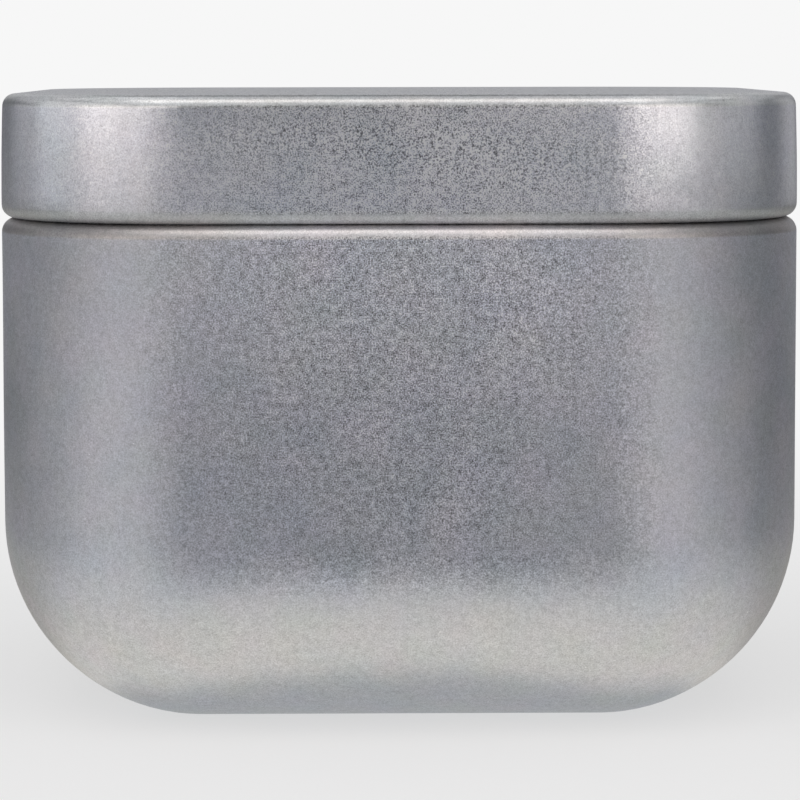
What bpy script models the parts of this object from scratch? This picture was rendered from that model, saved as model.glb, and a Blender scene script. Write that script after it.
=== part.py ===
"""Candle tin in two drawn tinplate pieces: a rounded-square tin body and the lid that slips over its neck.

Metres, +Z up. The origin is the centre of the base, on the plane that the tin stands on.
Both pieces are modelled as the outer face of the sheet, and Solidify gives the sheet its thickness inwards.
"""

import math

import bmesh
import bpy
from mathutils import Matrix, Vector

# The tin as a whole.
TIN_WIDTH = 0.077
CORNER_RADIUS = TIN_WIDTH / 4  # of the four upright corners, and of the turn from the walls to the base
CLOSED_HEIGHT = 0.0606  # to the edge of the lid's top panel
SHEET = 0.00025
FIT_GAP = 0.0003  # between the lid and the body, under the lid's edge and around the neck

# The tin body.
SHOULDER_HEIGHT = 0.0484
SHOULDER_RADIUS = 0.0017
NECK_FILLET = 0.0005
RIM_CURL_RADIUS = 0.001
RIM_CLEARANCE = 0.0012  # from the rim to the underside of the lid's panel
FOOT_WIDTH = 0.0028  # flat band around the base panel
FOOT_CORNER = 0.007
BASE_PANEL_DEPTH = 0.0005
BASE_PANEL_SLOPE = 0.0006  # width of the step around the panel

# The lid.
LID_CURL_RADIUS = 0.00125
LID_EDGE_RADIUS = 0.0012
LID_TAPER = 0.00017  # how much smaller the wall is at the top than at the curl, on each side
LID_CROWN = 0.00015
CROWN_BAND = 0.005  # width of each of the sloping bands around the panel's flat middle
CROWN_STEPS = (0.6, 0.3, 0.1)  # share of the crown that each band rises, from the edge inwards

CURL_TURN = math.radians(300)
CORNER_SEGMENTS = 8
CURL_SEGMENTS = 12
EDGE_SEGMENTS = 4
SMOOTH_ANGLE = math.radians(30)

HALF_WIDTH = TIN_WIDTH / 2
CORNER_CENTRE = HALF_WIDTH - CORNER_RADIUS
NECK_INSET = 2 * LID_CURL_RADIUS + FIT_GAP
RIM_HEIGHT = CLOSED_HEIGHT - SHEET - RIM_CLEARANCE
LID_BOTTOM = SHOULDER_HEIGHT + FIT_GAP


def clear_scene():
    for old in list(bpy.data.objects):
        bpy.data.objects.remove(old)


def tinplate(name, colour, roughness):
    material = bpy.data.materials.new(name)
    material.use_nodes = True
    shader = material.node_tree.nodes["Principled BSDF"]
    shader.inputs["Base Color"].default_value = (*colour, 1)
    shader.inputs["Metallic"].default_value = 1
    shader.inputs["Roughness"].default_value = roughness
    return material


def arc(centre, radius, start, turn, segments):
    """Points along an arc in the plane of a wall's section, as (inset, height). Angles run from +inset to +height."""
    points = []
    for step in range(segments + 1):
        angle = start + turn * step / segments
        inset = centre[0] + radius * math.cos(angle)
        points.append((inset, centre[1] + radius * math.sin(angle)))
    return points


def block(half_width, bottom, top):
    """A square block as a bmesh."""
    mesh = bmesh.new()
    size = Vector((2 * half_width, 2 * half_width, top - bottom))
    middle = Vector((0, 0, (bottom + top) / 2))
    bmesh.ops.create_cube(mesh, size=1, matrix=Matrix.LocRotScale(middle, None, size))
    return mesh


def upright_edges(mesh):
    return [e for e in mesh.edges if abs(e.verts[0].co.z - e.verts[1].co.z) > SHEET]


def level_edges(mesh, height):
    return [e for e in mesh.edges if all(abs(v.co.z - height) < SHEET / 2 for v in e.verts)]


def level_face(mesh, up):
    return max(mesh.faces, key=lambda face: face.calc_center_median().z * up)


def round_edges(mesh, edges, radius, segments):
    bmesh.ops.bevel(mesh, geom=edges, offset=radius, segments=segments, profile=0.5, affect="EDGES")


def open_edge(mesh, face):
    """Deletes the face and returns the loop of edges that it leaves open."""
    bmesh.ops.delete(mesh, geom=[face], context="FACES_ONLY")
    return [edge for edge in mesh.edges if edge.is_boundary]


def draw_sheet(mesh, loop, section):
    """Carries the open edge of the sheet through the section's points, each an (inset, height).

    Every point of the loop lies on one of the four corner arcs, so it moves along that arc's radius.
    """
    for inset, height in section:
        grown = bmesh.ops.extrude_edge_only(mesh, edges=loop)["geom"]
        loop = [part for part in grown if isinstance(part, bmesh.types.BMEdge)]
        for vertex in {vertex for edge in loop for vertex in edge.verts}:
            centre = Vector((math.copysign(CORNER_CENTRE, vertex.co.x), math.copysign(CORNER_CENTRE, vertex.co.y)))
            outwards = (vertex.co.xy - centre).normalized()
            vertex.co.xy = centre + outwards * (CORNER_RADIUS - inset)
            vertex.co.z = height


def sheet_object(name, mesh, material, collection):
    """The mesh as an object, with the thickness of the sheet added on its inner side."""
    bmesh.ops.recalc_face_normals(mesh, faces=mesh.faces)
    data = bpy.data.meshes.new(name)
    mesh.to_mesh(data)
    mesh.free()
    data.materials.append(material)
    data.shade_smooth()
    data.set_sharp_from_angle(angle=SMOOTH_ANGLE)
    piece = bpy.data.objects.new(name, data)
    collection.objects.link(piece)
    solidify = piece.modifiers.new("sheet", "SOLIDIFY")
    solidify.thickness = SHEET
    solidify.offset = -1
    solidify.use_even_offset = True
    return piece


def press_base_panel(mesh):
    """Presses the middle of the base inwards, which leaves a flat foot around it for the tin to stand on."""
    base = level_face(mesh, -1)
    bmesh.ops.inset_individual(mesh, faces=[base], thickness=FOOT_WIDTH)
    bmesh.ops.inset_individual(mesh, faces=[base], thickness=BASE_PANEL_SLOPE, depth=-BASE_PANEL_DEPTH)
    inner_corners = set(base.verts)
    slopes = [edge for edge in mesh.edges if len(inner_corners.intersection(edge.verts)) == 1]
    round_edges(mesh, slopes, FOOT_CORNER, EDGE_SEGMENTS)


def body_section():
    """The sheet's path from the top of the wall: shoulder, neck and the inward curl of the rim."""
    shoulder_centre = (SHOULDER_RADIUS, SHOULDER_HEIGHT - SHOULDER_RADIUS)
    shoulder = arc(shoulder_centre, SHOULDER_RADIUS, math.pi, -math.pi / 2, EDGE_SEGMENTS)
    fillet_centre = (NECK_INSET - NECK_FILLET, SHOULDER_HEIGHT + NECK_FILLET)
    fillet = arc(fillet_centre, NECK_FILLET, -math.pi / 2, math.pi / 2, EDGE_SEGMENTS)
    curl_centre = (NECK_INSET + RIM_CURL_RADIUS, RIM_HEIGHT - RIM_CURL_RADIUS)
    curl = arc(curl_centre, RIM_CURL_RADIUS, math.pi, -CURL_TURN, CURL_SEGMENTS)
    return shoulder[1:] + fillet + curl


def make_body(material, collection):
    wall_top = SHOULDER_HEIGHT - SHOULDER_RADIUS
    mesh = block(HALF_WIDTH, 0, wall_top)
    round_edges(mesh, upright_edges(mesh) + level_edges(mesh, 0), CORNER_RADIUS, CORNER_SEGMENTS)
    press_base_panel(mesh)
    draw_sheet(mesh, open_edge(mesh, level_face(mesh, 1)), body_section())
    return sheet_object("tin_body", mesh, material, collection)


def crown_panel(mesh):
    """Raises the middle of the lid's panel a little, in bands that flatten towards the middle."""
    panel = level_face(mesh, 1)
    for share in CROWN_STEPS:
        bmesh.ops.inset_individual(mesh, faces=[panel], thickness=CROWN_BAND, depth=LID_CROWN * share)


def make_lid(material, collection):
    curl_height = LID_BOTTOM + LID_CURL_RADIUS
    wall_middle = (curl_height + CLOSED_HEIGHT) / 2
    mesh = block(HALF_WIDTH - LID_TAPER, wall_middle, CLOSED_HEIGHT)
    round_edges(mesh, upright_edges(mesh), CORNER_RADIUS - LID_TAPER, CORNER_SEGMENTS)
    round_edges(mesh, level_edges(mesh, CLOSED_HEIGHT), LID_EDGE_RADIUS, EDGE_SEGMENTS)
    crown_panel(mesh)
    curl = arc((LID_CURL_RADIUS, curl_height), LID_CURL_RADIUS, math.pi, CURL_TURN, CURL_SEGMENTS)
    draw_sheet(mesh, open_edge(mesh, level_face(mesh, -1)), curl)
    return sheet_object("lid", mesh, material, collection)


def main():
    clear_scene()
    tin = bpy.data.collections.new("candle_tin")
    bpy.context.scene.collection.children.link(tin)
    make_body(tinplate("body_tinplate", (0.56, 0.57, 0.59), 0.46), tin)
    make_lid(tinplate("lid_tinplate", (0.6, 0.61, 0.62), 0.4), tin)


main()
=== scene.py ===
import math

import bmesh
import bpy
from mathutils import Matrix, Vector, noise


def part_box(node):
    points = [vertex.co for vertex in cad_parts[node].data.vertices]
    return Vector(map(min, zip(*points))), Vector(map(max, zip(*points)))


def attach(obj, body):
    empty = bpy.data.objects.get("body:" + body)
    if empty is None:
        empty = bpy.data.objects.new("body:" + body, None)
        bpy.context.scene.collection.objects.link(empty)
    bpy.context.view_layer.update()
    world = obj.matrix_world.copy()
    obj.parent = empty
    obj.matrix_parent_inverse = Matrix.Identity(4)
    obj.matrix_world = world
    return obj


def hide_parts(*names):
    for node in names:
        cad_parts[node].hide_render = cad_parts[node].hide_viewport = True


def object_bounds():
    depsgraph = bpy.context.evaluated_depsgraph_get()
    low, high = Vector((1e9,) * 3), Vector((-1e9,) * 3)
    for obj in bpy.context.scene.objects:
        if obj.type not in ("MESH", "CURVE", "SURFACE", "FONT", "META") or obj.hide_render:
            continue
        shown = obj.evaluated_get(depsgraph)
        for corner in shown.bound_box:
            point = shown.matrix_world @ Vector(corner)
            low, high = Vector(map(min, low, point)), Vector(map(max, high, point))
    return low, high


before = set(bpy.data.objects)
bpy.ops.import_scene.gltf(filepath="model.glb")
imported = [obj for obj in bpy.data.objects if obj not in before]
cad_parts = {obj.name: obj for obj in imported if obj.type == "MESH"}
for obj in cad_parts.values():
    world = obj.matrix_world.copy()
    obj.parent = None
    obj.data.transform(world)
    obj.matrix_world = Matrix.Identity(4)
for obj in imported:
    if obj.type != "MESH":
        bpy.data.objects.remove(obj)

CAD_LOW, CAD_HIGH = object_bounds()
BODY_LOW, BODY_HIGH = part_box("tin_body")
LID_LOW, LID_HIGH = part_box("lid")

# Sizes in metres. The outer ones come from the frame. The small roundings are within 0.3 mm of the CAD's.
HALF_WIDTH = (BODY_HIGH.x - BODY_LOW.x) / 2
CORNER_RADIUS = HALF_WIDTH / 2
SHEET = 0.00025
FIT_GAP = 0.0003
SEAT_GAP = 0.00004  # the lid all but rests on the shoulder
SHOULDER_RADIUS = 0.0014
NECK_FILLET = 0.0005
RIM_CURL_RADIUS = 0.001
LID_CURL_RADIUS = 0.00125
LID_EDGE_RADIUS = 0.00125
LID_TAPER = 0.00017
LID_BOW = 0.00006  # the lid's wall bulges this much at mid height
LID_CROWN = 0.00015
FOOT_WIDTH = 0.0028
PANEL_STEP = 0.0009
PANEL_DEPTH = 0.0005
PANEL_CORNER = 0.007
SMALLEST_CORNER = 0.002
CURL_TURN = math.radians(300)

SHOULDER_HEIGHT = LID_LOW.z - SEAT_GAP
WALL_TOP = SHOULDER_HEIGHT - SHOULDER_RADIUS
NECK_INSET = 2 * LID_CURL_RADIUS + FIT_GAP
LID_EDGE_HEIGHT = LID_HIGH.z - LID_CROWN
LID_WALL_LOW = LID_LOW.z + LID_CURL_RADIUS
LID_WALL_HIGH = LID_EDGE_HEIGHT - LID_EDGE_RADIUS

# Where the sheet turns sharply it is worn, and carries painted highlight and painted shade: fully at the
# first radius, and not at all at the second.
SHARP_RADIUS = 0.002
GENTLE_RADIUS = 0.006
SMALLEST_TURN = 0.001  # radians

# Waves left in the walls by drawing.
WAVE_LENGTH = 0.015
WAVE_HEIGHT = 0.00007
WAVE_FADE = 0.003

# How finely the sheet is divided.
CORNER_STEPS = 24
SIDE_STEPS = 12
WALL_STEPS = 14
BASE_ARC_STEPS = 28
SMALL_ARC_STEPS = 10
CURL_STEPS = 26
PANEL_STEPS = 8
TOP_STEPS = 16


def add_object(name, data):
    holder = bpy.data.objects.new(name, data)
    bpy.context.scene.collection.objects.link(holder)
    return holder


def arc(centre, radius, start, turn, steps):
    """Points along an arc of the section, each an (inset, height). Angles run from +inset to +height."""
    angles = [start + turn * step / steps for step in range(steps + 1)]
    return [(centre[0] + radius * math.cos(a), centre[1] + radius * math.sin(a)) for a in angles]


def line(start, end, steps):
    """Points between two section points, without the two ends."""
    shares = [step / steps for step in range(1, steps)]
    return [(start[0] + (end[0] - start[0]) * s, start[1] + (end[1] - start[1]) * s) for s in shares]


def bowed(points, bow):
    """Evenly spaced section points, moved outward by the bow at the middle and by less towards the ends."""
    shares = [(index + 1) / (len(points) + 1) for index in range(len(points))]
    return [(inset - 4 * bow * s * (1 - s), height) for (inset, height), s in zip(points, shares)]


def ring_of(inset, height):
    """A section point as a ring: half width, corner radius and height."""
    return HALF_WIDTH - inset, max(CORNER_RADIUS - inset, SMALLEST_CORNER), height


def outline(half_width, corner_radius, height):
    """The points of a rounded square, anticlockwise: each corner's arc, then the side after it."""
    points = []
    centre = half_width - corner_radius
    for quarter in range(4):
        turn = Matrix.Rotation(quarter * math.pi / 2, 3, "Z")
        for step in range(CORNER_STEPS + 1):
            angle = math.pi / 2 * step / CORNER_STEPS
            x = centre + corner_radius * math.cos(angle)
            y = centre + corner_radius * math.sin(angle)
            points.append(turn @ Vector((x, y, height)))
        for step in range(1, SIDE_STEPS):
            x = centre * (1 - 2 * step / SIDE_STEPS)
            points.append(turn @ Vector((x, half_width, height)))
    return points


def smooth_step(value, low, high):
    share = min(max((value - low) / (high - low), 0.0), 1.0)
    return share * share * (3 - 2 * share)


def make_uneven(mesh, low, high):
    """Gives the walls between two heights the slight waves of drawn sheet, fading out near both heights."""
    mesh.normal_update()
    for vertex in mesh.verts:
        height = vertex.co.z
        share = smooth_step(height, low, low + WAVE_FADE) * smooth_step(height, high, high - WAVE_FADE)
        wave = noise.noise(vertex.co / WAVE_LENGTH)
        vertex.co += vertex.normal * (WAVE_HEIGHT * wave * share)


def sharpness(rings):
    """How sharply the sheet turns at each ring, from 0 on the walls to 1 on the small edges and curls."""
    points = [Vector((half_width, height)) for half_width, corner_radius, height in rings]
    values = [0.0]
    for before, here, after in zip(points, points[1:], points[2:]):
        turn = (here - before).angle(after - here)
        radius = (after - before).length / 2 / max(turn, SMALLEST_TURN)
        share = (GENTLE_RADIUS - radius) / (GENTLE_RADIUS - SHARP_RADIUS)
        values.append(min(max(share, 0.0), 1.0))
    return values + [values[-1]]


def loft(name, rings, wavy_low, wavy_high):
    """One open sheet through the rings, closed at the first by a flat face, and wavy between two heights."""
    mesh = bmesh.new()
    layer = mesh.verts.layers.float.new("rubbed_and_sheen")
    last = None
    for ring, value in zip(rings, sharpness(rings)):
        row = [mesh.verts.new(point) for point in outline(*ring)]
        for vertex in row:
            vertex[layer] = value
        if last is None:
            mesh.faces.new(row)
        else:
            for i, vertex in enumerate(row):
                mesh.faces.new((last[i - 1], last[i], vertex, row[i - 1]))
        last = row
    bmesh.ops.recalc_face_normals(mesh, faces=mesh.faces)
    make_uneven(mesh, wavy_low, wavy_high)
    data = bpy.data.meshes.new(name)
    mesh.to_mesh(data)
    mesh.free()
    data.shade_smooth()
    return add_object(name, data)


def base_rings():
    """The pressed-in base panel, from its middle out, and the flat foot around it."""
    foot = HALF_WIDTH - CORNER_RADIUS
    edge = foot - FOOT_WIDTH
    rings = []
    for step in range(PANEL_STEPS):
        half_width = (edge - PANEL_STEP) * (step + 1) / PANEL_STEPS
        rings.append((half_width, min(PANEL_CORNER, half_width / 2), PANEL_DEPTH))
    for step in range(1, SMALL_ARC_STEPS + 1):
        share = step / SMALL_ARC_STEPS
        height = PANEL_DEPTH * (1 + math.cos(math.pi * share)) / 2
        rings.append((edge - PANEL_STEP * (1 - share), PANEL_CORNER, height))
    rings.append(((foot + edge) / 2, (PANEL_CORNER + SMALLEST_CORNER) / 2, 0))
    return rings


def body_rings():
    """The tin body's sheet, from the base panel up the outside and into the rim's curl."""
    bottom = arc((CORNER_RADIUS, CORNER_RADIUS), CORNER_RADIUS, -math.pi / 2, -math.pi / 2, BASE_ARC_STEPS)
    wall = line((0, CORNER_RADIUS), (0, WALL_TOP), WALL_STEPS)
    shoulder = arc((SHOULDER_RADIUS, WALL_TOP), SHOULDER_RADIUS, math.pi, -math.pi / 2, SMALL_ARC_STEPS)
    fillet_centre = (NECK_INSET - NECK_FILLET, SHOULDER_HEIGHT + NECK_FILLET)
    fillet = arc(fillet_centre, NECK_FILLET, -math.pi / 2, math.pi / 2, SMALL_ARC_STEPS)
    curl_centre = (NECK_INSET + RIM_CURL_RADIUS, BODY_HIGH.z - RIM_CURL_RADIUS)
    neck = line(fillet[-1], (NECK_INSET, curl_centre[1]), SMALL_ARC_STEPS)
    curl = arc(curl_centre, RIM_CURL_RADIUS, math.pi, -CURL_TURN, CURL_STEPS)
    section = bottom + wall + shoulder + fillet + neck + curl
    return base_rings() + [ring_of(inset, height) for inset, height in section]


def lid_rings():
    """The lid's sheet, from the middle of its top down the outside and into the curl of its edge."""
    edge = HALF_WIDTH - LID_TAPER - LID_EDGE_RADIUS
    rings = []
    for step in range(1, TOP_STEPS):
        share = step / TOP_STEPS
        crown = LID_CROWN * (1 - share * share)
        rings.append((edge * share, edge * share / 2, LID_EDGE_HEIGHT + crown))
    edge_centre = (LID_TAPER + LID_EDGE_RADIUS, LID_WALL_HIGH)
    top_edge = arc(edge_centre, LID_EDGE_RADIUS, math.pi / 2, math.pi / 2, SMALL_ARC_STEPS)
    curl = arc((LID_CURL_RADIUS, LID_WALL_LOW), LID_CURL_RADIUS, math.pi, CURL_TURN, CURL_STEPS)
    wall = bowed(line(top_edge[-1], curl[0], WALL_STEPS), LID_BOW)
    return rings + [ring_of(inset, height) for inset, height in top_edge + wall + curl]


def give_thickness(piece):
    """Thickens the sheet inwards, and puts the inside's material on its inner face."""
    sheet = piece.modifiers.new("sheet", "SOLIDIFY")
    sheet.thickness = SHEET
    sheet.offset = -1
    sheet.material_offset = 1
    sheet.material_offset_rim = 0
    normals = piece.modifiers.new("flat faces lead", "WEIGHTED_NORMAL")
    normals.mode = "FACE_AREA"


class Nodes:
    """Adds shader nodes to a tree and links them. An input is named, or numbered as _0, _1 and so on."""

    def __init__(self, tree):
        self.tree = tree

    def add(self, kind, settings=None, **inputs):
        node = self.tree.nodes.new(kind)
        for name, value in (settings or {}).items():
            setattr(node, name, value)
        for name, value in inputs.items():
            socket = node.inputs[int(name[1:]) if name[1:].isdigit() else name.replace("_", " ")]
            if isinstance(value, bpy.types.NodeSocket):
                self.tree.links.new(value, socket)
            else:
                socket.default_value = value
        return node

    def maths(self, operation, a, b):
        return self.add("ShaderNodeMath", {"operation": operation}, _0=a, _1=b).outputs[0]

    def sum(self, a, b):
        return self.maths("ADD", a, b)

    def product(self, a, b):
        return self.maths("MULTIPLY", a, b)

    def vector(self, operation, a, b=(0, 0, 0)):
        return self.add("ShaderNodeVectorMath", {"operation": operation}, _0=a, _1=b).outputs[0]

    def scaled(self, vector, scale):
        return self.add("ShaderNodeVectorMath", {"operation": "SCALE"}, _0=vector, Scale=scale).outputs[0]

    def length(self, vector):
        return self.add("ShaderNodeVectorMath", {"operation": "LENGTH"}, _0=vector).outputs["Value"]

    def split(self, vector):
        return self.add("ShaderNodeSeparateXYZ", _0=vector).outputs

    def mix(self, share, low, high):
        """A number that goes evenly from low to high as the share goes from 0 to 1."""
        return self.add("ShaderNodeMapRange", Value=share, To_Min=low, To_Max=high).outputs[0]

    def blend(self, share, first, second):
        """A colour that goes evenly from the first to the second as the share goes from 0 to 1."""
        return self.add("ShaderNodeMix", {"data_type": "RGBA"}, _0=share, _6=first, _7=second).outputs[2]

    def ramp(self, value, low, high, to_low=0.0, to_high=1.0):
        """A smooth step from one number to another as the value goes from low to high."""
        smooth = {"interpolation_type": "SMOOTHSTEP"}
        ends = {"From_Min": low, "From_Max": high, "To_Min": to_low, "To_Max": to_high}
        return self.add("ShaderNodeMapRange", smooth, Value=value, **ends).outputs[0]


UNTINTED = (1, 1, 1, 1)

# The finish, in metres and shares. "Round" marks two distances from the middle of the nearest side.
GRAIN_SIZE = 0.00014
GRAIN_DETAIL = 1.0
GRAIN_TILT = 0.12  # how far the crystals lean from the sheet
GRAIN_FADE = (0.003, 0.032)  # round: the grain fades between them
FLAT_FACING = (0.95, 1.0)  # how squarely the sheet faces one way where it counts as flat
TOP_FACING = (0.8, 0.95)  # how squarely it faces up where it counts as a top
LOW_GRAIN = (0.010, 0.034, 0.42, 1.0)  # two heights on the body, and the grain's strength at each
FAINTEST_GRAIN = 0.23
DARKEST_SHADE = 0.2
PATCH_SIZE = 0.0006
PATCH_DETAIL = 3.0
PATCH_SHARE = 0.47
CLOUD_SIZE = 0.005
CLOUD_DETAIL = 2.0
CLOUD_TONE = 0.06
CLOUD_TINT = (0.07, 0.03, 0.07)
CLOUD_ROUGHNESS = 0.12
SPECK_SPACING = 0.0022
SPECK_RADIUS = 0.00008
SPECK_SPLIT = (0.5, 0.6)  # about half of the specks are pits, and the rest nicks
SPECK_TONES = (0.55, 1.6)  # pits are darker, and nicks brighter
EDGE_FADE = (0.008, 0.032)  # round: a worn edge's painted highlight and shade go from its first tone to its second
CORNER_FADE = (0.022, 0.034)  # round: the corners take on their own tone, painted highlight on the lid and painted shade on the body
HELD_BAND = 0.019  # the body is handled this far down its wall, which dulls it; its corners there get painted shade
HELD_ROUGHNESS = 0.12
SEAM_BAND = (0.0006, 0.0016)  # the lid's lower edge, where its sheet is rolled, is duller, and painted darker as shade over the gap
SEAM_SHADE_TONES = (0.97, 0.73)
SEAM_ROUGHNESS = 0.26
DRAW_MARK_SIZE = 0.0007
DRAW_MARK_DETAIL = 2.0
DRAW_MARK_STRETCH = (1, 1, 0.05)

BODY_OUTSIDE = {
    "colour": (0.608, 0.613, 0.667),
    "roughness": 0.42,
    "speckle": 3.4,
    # Worn edges: painted highlight, lighter and warmer mid-side, and painted shade towards the corners.
    "edge_tones": (1.22, 0.72),
    "edge_tint": (1.05, 1.0, 0.925, 1),
    # Painted shade at the corners of the top band.
    "corner_tone": 0.81,
    "held": (WALL_TOP - HELD_BAND, WALL_TOP),
}
LID_OUTSIDE = {
    "colour": (0.78, 0.785, 0.842),
    "roughness": 0.31,
    "speckle": 3.6,
    # The worn top edge is painted darker mid-side as shade, and slightly warmer as a highlight.
    "edge_tones": (0.86, 1.0),
    "edge_tint": (0.997, 1.0, 0.945, 1),
    # Painted highlight at the corners.
    "corner_tone": 1.08,
    # Painted shade on the lid's lower edge, over the gap to the body.
    "seam": (LID_LOW.z + SEAM_BAND[0], LID_LOW.z + SEAM_BAND[1]),
}
INSIDE = {
    "colour": (0.66, 0.66, 0.68),
    "roughness": 0.32,
    "speckle": 1.2,
    "draw_marks": 0.3,
}


def by_height(nodes, place, low, high, at_low, at_high):
    """A number that goes smoothly from one value to another between two heights."""
    return nodes.ramp(nodes.split(place)[2], low, high, at_low, at_high)


def distance_round(nodes, place):
    """How far round from the middle of the nearest side a place is, in metres."""
    across = nodes.split(nodes.vector("ABSOLUTE", place))
    return nodes.maths("MINIMUM", across[0], across[1])


def grain_strength(nodes, place, normal):
    """1 in the middle of each flat, and less towards the drawn corners and the base."""
    facing = nodes.split(nodes.vector("ABSOLUTE", normal))
    largest = nodes.maths("MAXIMUM", nodes.maths("MAXIMUM", facing[0], facing[1]), facing[2])
    flat = nodes.ramp(largest, *FLAT_FACING)
    middle = nodes.ramp(distance_round(nodes, place), *GRAIN_FADE, 1.0, 0.0)
    upward = nodes.ramp(facing[2], *TOP_FACING)
    strength = nodes.product(flat, nodes.maths("MAXIMUM", middle, upward))
    return nodes.product(strength, by_height(nodes, place, *LOW_GRAIN))


def noise_field(nodes, place, size, detail):
    """Noise with features of the given size in metres, as a number about 0 and as a colour about 0."""
    field = nodes.add("ShaderNodeTexNoise", Vector=place, Scale=1 / size, Detail=detail)
    number = nodes.maths("SUBTRACT", field.outputs["Fac"], 0.5)
    colour = nodes.vector("SUBTRACT", field.outputs["Color"], (0.5, 0.5, 0.5))
    return number, colour


def specks(nodes, place):
    """A tone of 1 almost everywhere, with a few small pits and nicks."""
    cells = nodes.add("ShaderNodeTexVoronoi", Vector=place, Scale=1 / SPECK_SPACING).outputs
    radius = SPECK_RADIUS / SPECK_SPACING
    near = nodes.ramp(cells["Distance"], radius / 2, radius, 1.0, 0.0)
    kind = nodes.split(cells["Color"])[0]
    return nodes.mix(near, 1.0, nodes.ramp(kind, *SPECK_SPLIT, *SPECK_TONES))


def grained_shade(nodes, place, strength, grain, cloud):
    """The plain sheet's shade, about 1: crystal grain that gathers in patches, under broad faint clouds."""
    patch = noise_field(nodes, place, PATCH_SIZE, PATCH_DETAIL)[0]
    crystals = nodes.sum(grain, nodes.product(patch, PATCH_SHARE))
    shade = nodes.sum(nodes.product(crystals, strength), 1.0)
    return nodes.sum(shade, nodes.product(cloud, CLOUD_TONE))


def draw_lines(nodes, place, strength):
    """Faint upright lines about 0, left inside the sheet by the drawing tool."""
    stretched = nodes.vector("MULTIPLY", place, DRAW_MARK_STRETCH)
    mark = noise_field(nodes, stretched, DRAW_MARK_SIZE, DRAW_MARK_DETAIL)[0]
    return nodes.product(mark, strength)


def tinplate(name, colour, roughness, speckle, edge_tones=(1.0, 1.0), edge_tint=UNTINTED, corner_tone=1.0,
             draw_marks=0.0, seam=None, held=None):
    """Bare satin tinplate: a fine crystal grain on the flats, plainer on worn edges and drawn corners.
    Those edges and corners also carry painted highlight and painted shade.

    Seam and held are each two heights. The curled edge, duller and painted darker as shade, lies below the
    first seam height and fades out at the second, and the held band, where the body's corners get painted
    shade, begins at the first held height and is full at the second.
    """
    material = bpy.data.materials.new(name)
    material.use_nodes = True
    nodes = Nodes(material.node_tree)
    place = nodes.add("ShaderNodeTexCoord").outputs["Object"]
    normal = nodes.add("ShaderNodeNewGeometry").outputs["Normal"]
    rubbed_and_sheen = nodes.add("ShaderNodeAttribute", {"attribute_name": "rubbed_and_sheen"}).outputs["Fac"]
    grain, tilt = noise_field(nodes, place, GRAIN_SIZE, GRAIN_DETAIL)
    cloud, cloud_colour = noise_field(nodes, place, CLOUD_SIZE, CLOUD_DETAIL)
    distance = distance_round(nodes, place)
    corner = nodes.ramp(distance, *CORNER_FADE)
    rough = nodes.sum(nodes.product(cloud, CLOUD_ROUGHNESS), roughness)
    tint = nodes.vector("ADD", colour, nodes.vector("MULTIPLY", cloud_colour, CLOUD_TINT))
    # Worn edges get a warmer tint: the painted warmth of their highlight.
    tint = nodes.vector("MULTIPLY", tint, nodes.blend(rubbed_and_sheen, UNTINTED, edge_tint))
    tones = [specks(nodes, place)]

    if seam:
        # The lid's lower edge is duller, and painted darker as shade, most at the corners.
        rolled_and_shaded = by_height(nodes, place, *seam, 1.0, 0.0)
        rubbed_and_sheen = nodes.maths("SUBTRACT", rubbed_and_sheen, rolled_and_shaded)
        rough = nodes.sum(rough, nodes.mix(rolled_and_shaded, 0.0, SEAM_ROUGHNESS))
        tones.append(nodes.mix(rolled_and_shaded, 1.0, nodes.ramp(distance, *EDGE_FADE, *SEAM_SHADE_TONES)))
    if held:
        top_band = by_height(nodes, place, *held, 0.0, 1.0)
        # The corners' painted shade lies only in the body's top band.
        corner = nodes.product(corner, top_band)
        rough = nodes.sum(rough, nodes.product(top_band, nodes.mix(rubbed_and_sheen, HELD_ROUGHNESS, 0.0)))
    # Worn edges: painted highlight and painted shade, set by the material's edge tones along each side.
    tones.append(nodes.mix(rubbed_and_sheen, 1.0, nodes.ramp(distance, *EDGE_FADE, *edge_tones)))
    # The corners' tone: painted highlight on the lid, painted shade on the body.
    tones.append(nodes.mix(corner, 1.0, corner_tone))

    strength = nodes.mix(grain_strength(nodes, place, normal), FAINTEST_GRAIN * speckle, speckle)
    shade = grained_shade(nodes, place, strength, grain, cloud)
    for tone in tones:
        shade = nodes.product(shade, tone)
    if draw_marks:
        shade = nodes.sum(shade, draw_lines(nodes, place, draw_marks))
    shade = nodes.maths("MAXIMUM", shade, DARKEST_SHADE)

    leaning = nodes.vector("NORMALIZE", nodes.vector("ADD", normal, nodes.scaled(tilt, GRAIN_TILT)))
    shader = material.node_tree.nodes["Principled BSDF"]
    surface = {"Base Color": nodes.scaled(tint, shade), "Roughness": rough, "Normal": leaning}
    for socket, value in surface.items():
        material.node_tree.links.new(value, shader.inputs[socket])
    shader.inputs["Metallic"].default_value = 1
    return material


def finish_piece(piece, materials, node, body):
    """Thickens a sheet, gives it its outside and inside materials, and puts it in its CAD node's place."""
    give_thickness(piece)
    for material in materials:
        piece.data.materials.append(material)
    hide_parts(node)
    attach(piece, body)


def make_body():
    sheet = loft("tin_body_sheet", body_rings(), CAD_LOW.z, WALL_TOP)
    materials = (tinplate("body outside", **BODY_OUTSIDE), tinplate("body inside", **INSIDE))
    finish_piece(sheet, materials, "tin_body", "tin")


def make_lid():
    sheet = loft("lid_sheet", lid_rings(), LID_WALL_LOW, LID_WALL_HIGH)
    materials = (tinplate("lid outside", **LID_OUTSIDE), tinplate("lid inside", **INSIDE))
    finish_piece(sheet, materials, "lid", "lid")


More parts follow.
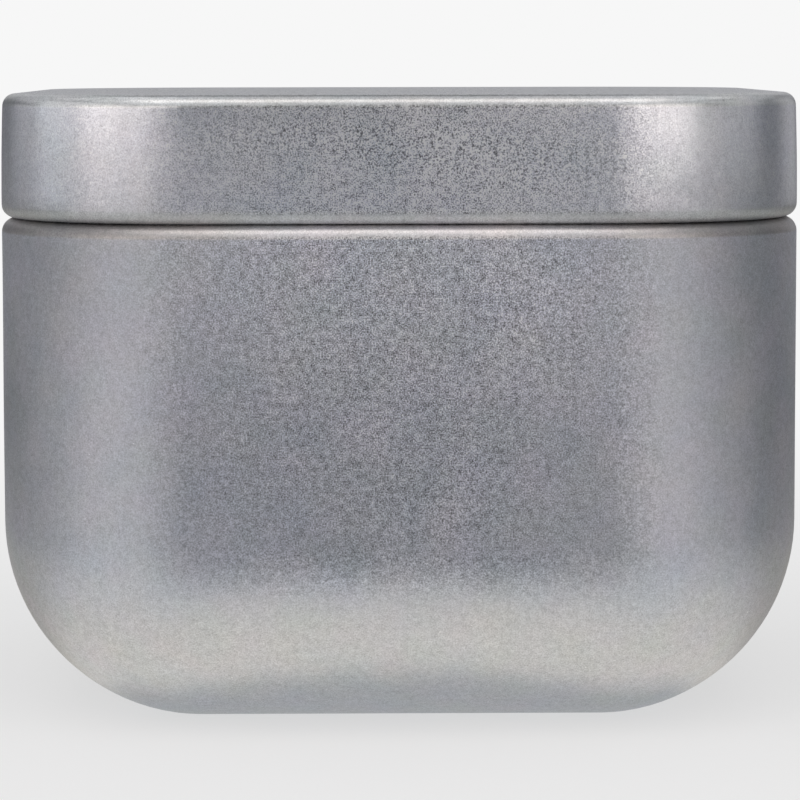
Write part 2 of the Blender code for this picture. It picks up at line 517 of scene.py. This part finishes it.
# The camera stands in front of the tin, just above its lid, and looks slightly down.
CAMERA_DISTANCE = 0.3585
CAMERA_HEIGHT = 0.0642
CAMERA_PITCH = 0.0947
CAMERA_YAW = -0.0108
CAMERA_ROLL = -0.0019
CAMERA_LENS = 157.1
CAMERA_SHIFT = (0.0030, -0.0167)
CAMERA_NEAR = 0.01


def make_camera():
    camera = bpy.data.cameras.new("camera")
    camera.lens = CAMERA_LENS
    camera.shift_x, camera.shift_y = CAMERA_SHIFT
    camera.clip_start = CAMERA_NEAR
    holder = add_object("camera", camera)
    heading = Matrix.Rotation(CAMERA_YAW, 4, "Z")
    place = Matrix.Translation((0, -CAMERA_DISTANCE, CAMERA_HEIGHT))
    tip = Matrix.Rotation(math.pi / 2 - CAMERA_PITCH, 4, "X") @ Matrix.Rotation(CAMERA_ROLL, 4, "Z")
    holder.matrix_world = heading @ place @ tip
    bpy.context.scene.camera = holder


BACKDROP = (0.93, 0.93, 0.93, 1)
ROOM = (0.125, 0.13, 0.14, 1)
FLOOR_RADIUS = 2.5
FLOOR_STEPS = 96
FLOOR_DROP = 0.00002  # keeps the floor just under the tin's foot
FLOOR_FADE = (0.0, 0.30, 0.6, 1.0)  # two distances, and how much of the floor is backdrop at each

# The table as the metal mirrors it, in front, at the corners and behind: a painted reflection that glows,
# with a painted shadow under the tin. Each tone is a distance from the tin's middle, a brightness and a
# tint.
PLAIN = (0.98, 1.0, 1.0)
COOL = (0.96, 1.0, 1.09)
SHADED = (0.97, 1.0, 0.97)
WARM = (1.03, 1.0, 0.885)
TABLE_IN_FRONT = (
    (0.0320, 0.54, SHADED),
    (0.0350, 0.86, WARM),
    (0.048, 0.81, WARM),
    (0.058, 0.78, PLAIN),
    (0.070, 0.28, COOL),
    (0.150, 0.19, COOL),
    (0.380, 0.19, COOL),
    (0.420, 0.52, COOL),
)
TABLE_AT_CORNERS = (
    (0.0320, 0.54, SHADED),
    (0.0350, 0.86, WARM),
    (0.048, 0.79, WARM),
    (0.062, 0.72, PLAIN),
    (0.150, 0.62, PLAIN),
    (0.200, 0.50, PLAIN),
    (0.380, 0.24, PLAIN),
    (0.420, 0.28, PLAIN),
)
TABLE_BEHIND = (
    (0.0320, 0.32, SHADED),
    (0.0350, 0.36, WARM),
    (0.060, 0.44, WARM),
    (0.150, 0.42, PLAIN),
    (0.170, 0.16, PLAIN),
    (0.380, 0.16, PLAIN),
    (0.420, 0.20, PLAIN),
)
CORNER_ANGLES = (math.radians(15), math.radians(29))  # from the front, where the corners' tones take over
REAR_ANGLES = (math.radians(52), math.radians(88))  # and where the tones behind take over
RIGHT_SHADE = (0.02, 0.08, 1.0, 0.86)  # two places out to the tin's right, and the table's painted tone at each, painted shade on the right


def tone_ramp(nodes, reach, tones):
    """Brightness against distance, held steady beyond the last tone."""
    longest = tones[-1][0]
    band = nodes.add("ShaderNodeValToRGB", Fac=nodes.product(reach, 1 / longest))
    elements = band.color_ramp.elements
    while len(elements) < len(tones):
        elements.new(1.0)
    for element, (distance, tone, tint) in zip(elements, tones):
        element.position = distance / longest
        element.color = (*(tone * share for share in tint), 1)
    return band.outputs[0]


def table_glow(nodes, place):
    """The table as the metal mirrors it, painted as a glow: painted shadow under the tin, bright beside it,
    dim further out.
    """
    spot = nodes.split(place)
    across = nodes.split(nodes.vector("ABSOLUTE", place))
    square = nodes.maths("MAXIMUM", across[0], across[1])
    reach = nodes.product(nodes.sum(square, nodes.length(place)), 0.5)
    azimuth = nodes.maths("ARCTAN2", across[0], nodes.product(spot[1], -1.0))
    tone = tone_ramp(nodes, reach, TABLE_IN_FRONT)
    for angles, tones in ((CORNER_ANGLES, TABLE_AT_CORNERS), (REAR_ANGLES, TABLE_BEHIND)):
        tone = nodes.blend(nodes.ramp(azimuth, *angles), tone, tone_ramp(nodes, reach, tones))
    tone = nodes.scaled(tone, nodes.ramp(spot[0], *RIGHT_SHADE))
    return nodes.add("ShaderNodeEmission", Color=tone).outputs[0]


def floor_material():
    """A pale table that fades into the backdrop, is clear from below, and glows as the metal mirrors it."""
    material = bpy.data.materials.new("table")
    material.use_nodes = True
    material.node_tree.nodes.clear()
    nodes = Nodes(material.node_tree)
    place = nodes.add("ShaderNodeTexCoord").outputs["Object"]
    near = nodes.add("ShaderNodeBsdfDiffuse", Color=BACKDROP).outputs[0]
    far = nodes.add("ShaderNodeEmission", Color=BACKDROP).outputs[0]
    fade = nodes.ramp(nodes.length(place), *FLOOR_FADE)
    seen = nodes.add("ShaderNodeMixShader", _0=fade, _1=near, _2=far).outputs[0]
    underneath = nodes.add("ShaderNodeNewGeometry").outputs["Backfacing"]
    clear = nodes.add("ShaderNodeBsdfTransparent").outputs[0]
    seen = nodes.add("ShaderNodeMixShader", _0=underneath, _1=seen, _2=clear).outputs[0]
    camera_ray = nodes.add("ShaderNodeLightPath").outputs["Is Camera Ray"]
    both = nodes.add("ShaderNodeMixShader", _0=camera_ray, _1=table_glow(nodes, place), _2=seen).outputs[0]
    nodes.add("ShaderNodeOutputMaterial", Surface=both)
    return material


def make_floor():
    mesh = bmesh.new()
    bmesh.ops.create_circle(mesh, cap_ends=True, segments=FLOOR_STEPS, radius=FLOOR_RADIUS)
    data = bpy.data.meshes.new("floor")
    mesh.to_mesh(data)
    mesh.free()
    data.materials.append(floor_material())
    floor = add_object("floor", data)
    floor.location.z = CAD_LOW.z - FLOOR_DROP


def make_world():
    """A pale backdrop for the camera, and an almost dark room for the metal."""
    world = bpy.data.worlds.new("studio")
    world.use_nodes = True
    world.node_tree.nodes.clear()
    bpy.context.scene.world = world
    nodes = Nodes(world.node_tree)
    room = nodes.add("ShaderNodeBackground", Color=ROOM).outputs[0]
    backdrop = nodes.add("ShaderNodeBackground", Color=BACKDROP).outputs[0]
    camera_ray = nodes.add("ShaderNodeLightPath").outputs["Is Camera Ray"]
    both = nodes.add("ShaderNodeMixShader", _0=camera_ray, _1=room, _2=backdrop).outputs[0]
    nodes.add("ShaderNodeOutputWorld", Surface=both)


LIGHT_DISTANCE = 0.9
LIGHT_AIM = Vector((0, 0, 0.03))
WHITE = (1, 1, 1)
CREAM = (1.0, 0.955, 0.91)
AMBER = (1.0, 0.925, 0.87)

# Each softbox: name, azimuth and elevation in degrees, width and height in metres, brightness and tint.
# Azimuth 0 is the camera's side, and 90 the tin's right.
SOFTBOXES = (
    ("left inner panel", -22, 17, 0.34, 0.23, 1.05, AMBER),
    ("left inner strip", -36, 8, 0.34, 0.18, 1.15, AMBER),
    ("left strip", -58, 9, 0.36, 0.20, 1.50, AMBER),
    ("left upper strip", -54, 23, 0.48, 0.22, 0.80, CREAM),
    ("left side panel", -88, 6, 0.50, 0.18, 0.68, WHITE),
    ("left far side panel", -118, 6, 0.40, 0.18, 0.28, WHITE),
    ("left dome", -50, 46, 0.60, 0.50, 0.43, WHITE),
    ("left side dome", -90, 26, 0.50, 0.45, 0.50, WHITE),
    ("left top panel", -95, 62, 0.60, 0.44, 0.36, WHITE),
    ("left rear panel", -130, 40, 0.70, 0.60, 0.30, WHITE),
    ("right inner panel", 20, 16, 0.26, 0.25, 1.15, AMBER),
    ("right inner strip", 19, 7, 0.26, 0.18, 0.70, AMBER),
    ("right strip", 39, 9, 0.40, 0.20, 1.44, AMBER),
    ("right upper strip", 44, 23, 0.48, 0.22, 0.80, CREAM),
    ("right outer panel", 61, 6, 0.32, 0.18, 0.40, AMBER),
    ("right side panel", 84, 6, 0.44, 0.18, 0.28, WHITE),
    ("right dome", 50, 46, 0.60, 0.50, 0.38, WHITE),
    ("right side dome", 90, 26, 0.50, 0.45, 0.31, WHITE),
    ("right top panel", 95, 62, 0.60, 0.44, 0.36, WHITE),
    ("right rear panel", 130, 45, 0.70, 0.50, 0.28, WHITE),
    ("right rim", 140, 10, 0.44, 0.36, 0.30, WHITE),
    ("front dome", 0, 40, 0.80, 0.44, 0.54, WHITE),
    ("front key", 0, 66, 0.80, 0.40, 1.24, CREAM),
    ("back panel", 180, 25, 0.70, 0.60, 0.345, WHITE),
    ("top panel", 180, 80, 0.70, 0.60, 0.50, WHITE),
)


def softbox(name, azimuth, elevation, width, height, brightness, tint):
    """A rectangular area light aimed at the tin."""
    light = bpy.data.lights.new(name, "AREA")
    light.shape = "RECTANGLE"
    light.size = width
    light.size_y = height
    light.energy = brightness * width * height * math.pi
    light.color = tint
    turn = math.radians(azimuth)
    lift = math.radians(elevation)
    out = Vector((math.sin(turn) * math.cos(lift), -math.cos(turn) * math.cos(lift), math.sin(lift)))
    holder = add_object(name, light)
    holder.location = LIGHT_AIM + out * LIGHT_DISTANCE
    holder.rotation_mode = "QUATERNION"
    holder.rotation_quaternion = out.to_track_quat("Z", "Y")
    holder.visible_camera = False


make_body()
make_lid()
make_floor()
make_world()
for settings in SOFTBOXES:
    softbox(*settings)
make_camera()
bpy.context.scene.view_settings.view_transform = "Standard"

bpy.context.view_layer.update()
